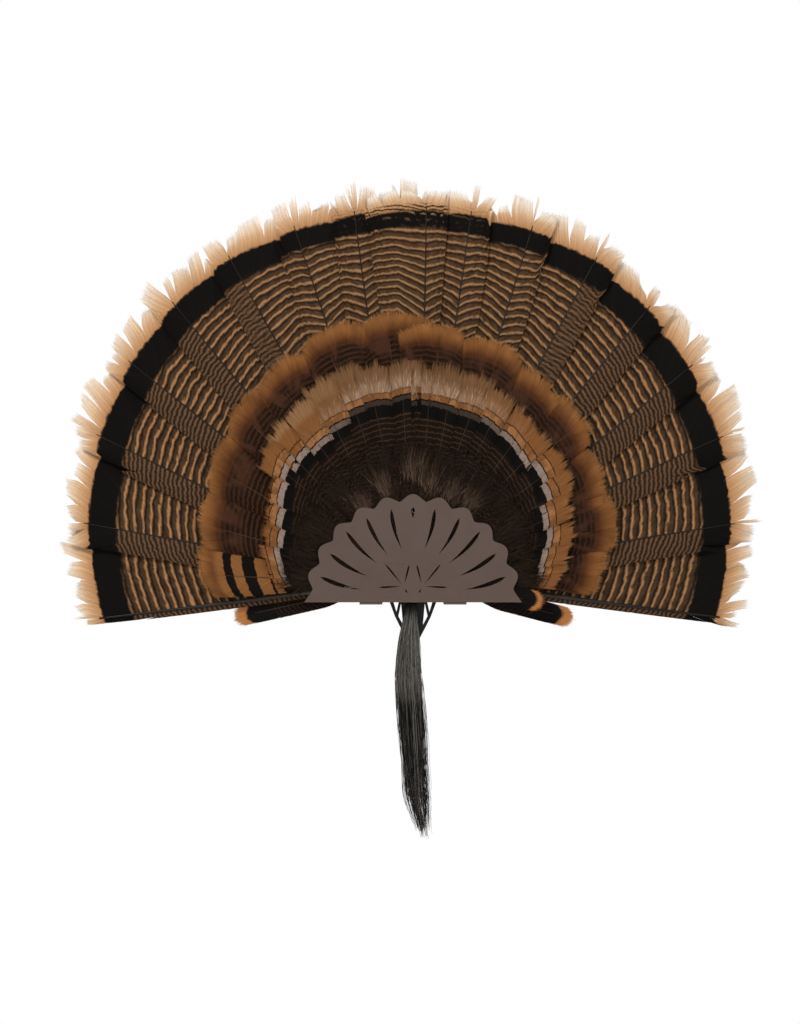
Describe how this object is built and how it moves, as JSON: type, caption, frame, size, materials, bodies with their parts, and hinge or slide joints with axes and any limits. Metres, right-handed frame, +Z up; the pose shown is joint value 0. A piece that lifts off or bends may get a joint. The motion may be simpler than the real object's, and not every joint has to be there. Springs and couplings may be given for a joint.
{
  "type": "turkey tail fan and beard display",
  "caption": "Spread turkey tail fan clamped between a scalloped steel front plate and a wall plate, with a beard hanging from a pivoted steel V below.",
  "frame": {"origin": "on the back plate's rear face, on the object's centre line and 50 mm above the front plate's straight lower edge", "axes": "+Z up as it hangs, +Y into the wall, so the display side faces -Y and +X is to the viewer's right"},
  "size_m": [0.726, 0.042, 0.6858],
  "materials": {
    "powder_coat": "fine-textured brown powder coat",
    "black_steel": "satin black",
    "zinc": "zinc plated",
    "tail_vane": "barred brown feather with a black band and tan tip",
    "greater_covert": "rusty feather with a dark barred base",
    "lesser_covert": "tan, cream and black banded feather",
    "down": "dark loose down",
    "dried_root": "dry hide",
    "bristle": "coarse bristle, grey at the root and black below"
  },
  "bodies": {
    "bracket": {"back_plate": "powder_coat", "front_plate": "powder_coat", "standoff_left": "zinc", "clamp_screw_left": "zinc", "standoff_centre": "zinc", "clamp_screw_centre": "zinc", "standoff_right": "zinc", "clamp_screw_right": "zinc", "tail_base": "dried_root", "tail_feather_left_1": "tail_vane", "tail_feather_left_2": "tail_vane", "tail_feather_left_3": "tail_vane", "tail_feather_left_4": "tail_vane", "tail_feather_left_5": "tail_vane", "tail_feather_left_6": "tail_vane", "tail_feather_left_7": "tail_vane", "tail_feather_left_8": "tail_vane", "tail_feather_left_9": "tail_vane", "tail_feather_right_1": "tail_vane", "tail_feather_right_2": "tail_vane", "tail_feather_right_3": "tail_vane", "tail_feather_right_4": "tail_vane", "tail_feather_right_5": "tail_vane", "tail_feather_right_6": "tail_vane", "tail_feather_right_7": "tail_vane", "tail_feather_right_8": "tail_vane", "tail_feather_right_9": "tail_vane", "greater_covert_left_1": "greater_covert", "greater_covert_left_2": "greater_covert", "greater_covert_left_3": "greater_covert", "greater_covert_left_4": "greater_covert", "greater_covert_left_5": "greater_covert", "greater_covert_left_6": "greater_covert", "greater_covert_left_7": "greater_covert", "greater_covert_right_1": "greater_covert", "greater_covert_right_2": "greater_covert", "greater_covert_right_3": "greater_covert", "greater_covert_right_4": "greater_covert", "greater_covert_right_5": "greater_covert", "greater_covert_right_6": "greater_covert", "greater_covert_right_7": "greater_covert", "side_covert_left": "greater_covert", "side_covert_right": "greater_covert", "side_covert_right_upper": "greater_covert", "lesser_covert_left_1": "lesser_covert", "lesser_covert_left_2": "lesser_covert", "lesser_covert_left_3": "lesser_covert", "lesser_covert_left_4": "lesser_covert", "lesser_covert_right_1": "lesser_covert", "lesser_covert_right_2": "lesser_covert", "lesser_covert_right_3": "lesser_covert", "lesser_covert_right_4": "lesser_covert", "rump_down": "down"},
    "hanger": {"beard_hanger": "black_steel", "beard_rivet": "zinc"},
    "beard": {"beard_cap": "black_steel", "beard_bristles": "bristle"}
  },
  "joints": [
    {"name": "hanger_swing", "type": "hinge", "parent": "bracket", "child": "hanger", "pos_m": [0, -0.0165, -0.044], "axis": [-1, 0, 0], "range_deg": [-2, 35]},
    {"name": "beard_swing", "type": "hinge", "parent": "hanger", "child": "beard", "pos_m": [0, -0.0222, -0.044], "axis": [0, 1, 0], "range_deg": [-35, 35]}
  ]
}
